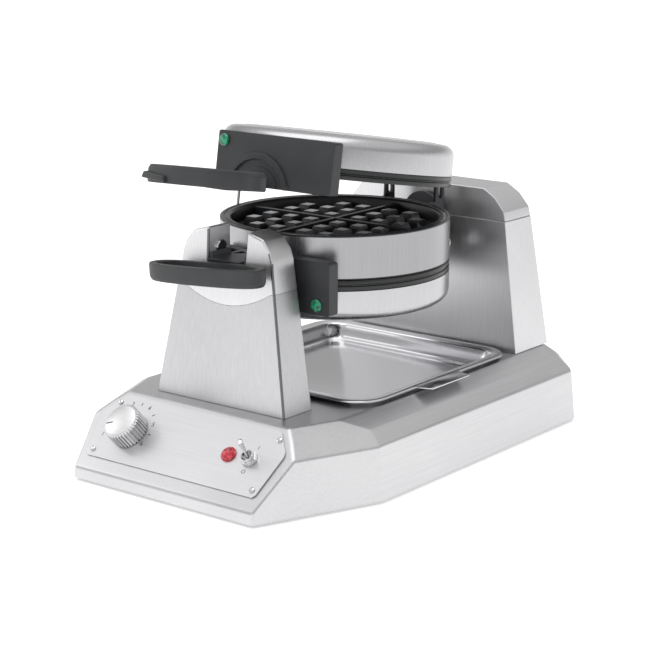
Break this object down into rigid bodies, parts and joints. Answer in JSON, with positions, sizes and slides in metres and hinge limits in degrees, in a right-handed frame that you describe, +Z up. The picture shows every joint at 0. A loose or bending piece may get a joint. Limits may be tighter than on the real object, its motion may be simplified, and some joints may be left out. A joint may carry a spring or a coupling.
{
  "type": "waffle maker",
  "caption": "Double rotary waffle maker: a round grid unit with its top lid raised turns between two steel pylons on a faceted base with a dial and a drip tray.",
  "frame": {"origin": "centre of the footprint, on the surface the feet stand on", "axes": "+X along the control panel to its right end, +Y from the control panel to the rear pylon, +Z up"},
  "size_m": [0.302, 0.45, 0.3039],
  "materials": {
    "brushed_steel": "vertically brushed",
    "plate_steel": "plain sheet",
    "polished_steel": "polished",
    "panel_aluminium": "satin, printed",
    "knob_aluminium": "satin, ribbed",
    "chrome": "mirror plated",
    "coated_cast_aluminium": "dark non-stick coating",
    "heater_sheath": "oxidised",
    "black_plastic": "fine matt grain",
    "grey_nylon": "smooth",
    "rubber": "matt",
    "red_lens": "clear red",
    "green_lens": "clear green"
  },
  "bodies": {
    "base": {"base_cover": "brushed_steel", "bottom_plate": "plate_steel", "foot_1": "rubber", "foot_2": "rubber", "foot_3": "rubber", "foot_4": "rubber", "tray_well": "polished_steel", "control_panel": "panel_aluminium", "panel_screw_1": "chrome", "panel_screw_2": "chrome", "panel_screw_3": "chrome", "panel_screw_4": "chrome", "thermostat": "chrome", "power_lamp": "red_lens", "switch_body": "chrome", "inlet_gland": "black_plastic", "front_pylon": "brushed_steel", "front_pylon_cap": "brushed_steel", "front_saddle": "grey_nylon", "rear_pylon": "brushed_steel", "rear_pylon_cap": "brushed_steel", "rear_bearing": "grey_nylon"},
    "tray": {"drip_tray": "polished_steel"},
    "dial": {"dial_knob": "knob_aluminium"},
    "lever": {"switch_lever": "chrome"},
    "grid_unit": {"middle_band": "brushed_steel", "upper_middle_grid": "coated_cast_aluminium", "lower_middle_grid": "coated_cast_aluminium", "middle_heater": "heater_sheath", "front_tongue": "coated_cast_aluminium", "rear_axle": "chrome", "top_hinge_bracket": "brushed_steel", "bottom_hinge_bracket": "brushed_steel", "bottom_hinge_pin": "chrome"},
    "top_pin": {"top_hinge_pin": "chrome"},
    "top_lid": {"top_lid_shell": "brushed_steel", "top_lid_ring": "black_plastic", "top_lid_grid": "coated_cast_aluminium", "top_lid_heater": "heater_sheath", "top_handle_block": "black_plastic", "top_handle": "black_plastic", "top_ready_lamp": "green_lens", "top_hinge_knuckle": "coated_cast_aluminium", "top_stay_wire": "chrome"},
    "bottom_lid": {"bottom_lid_shell": "brushed_steel", "bottom_lid_ring": "black_plastic", "bottom_lid_grid": "coated_cast_aluminium", "bottom_lid_heater": "heater_sheath", "bottom_handle_block": "black_plastic", "bottom_handle": "black_plastic", "bottom_ready_lamp": "green_lens", "bottom_hinge_knuckle": "coated_cast_aluminium"}
  },
  "joints": [
    {"name": "tray_lift", "type": "slide", "parent": "base", "child": "tray", "axis": [0, 0, 1], "range_m": [0, 0.024]},
    {"name": "dial_turn", "type": "hinge", "parent": "base", "child": "dial", "pos_m": [-0.0635, -0.19896, 0.05082], "axis": [0, 0.6855, -0.7281], "range_deg": [0, 270]},
    {"name": "switch_toggle", "type": "hinge", "parent": "base", "child": "lever", "pos_m": [0.0741, -0.19464, 0.04843], "axis": [1, 0, 0], "range_deg": [0, 22.8]},
    {"name": "unit_flip", "type": "hinge", "parent": "base", "child": "grid_unit", "pos_m": [0, 0.0175, 0.1956], "axis": [0, 1, 0], "range_deg": [0, 90]},
    {"name": "top_pin_slide", "type": "slide", "parent": "grid_unit", "child": "top_pin", "axis": [0, 0, 1], "range_m": [-0.0152, 0]},
    {"name": "top_lid_hinge", "type": "hinge", "parent": "top_pin", "child": "top_lid", "pos_m": [0, 0.1425, 0.2338], "axis": [-1, 0, 0], "range_deg": [-9.4, 55]},
    {"name": "bottom_lid_hinge", "type": "hinge", "parent": "grid_unit", "child": "bottom_lid", "pos_m": [0, 0.1425, 0.1726], "axis": [1, 0, 0], "range_deg": [0, 0.9]}
  ]
}
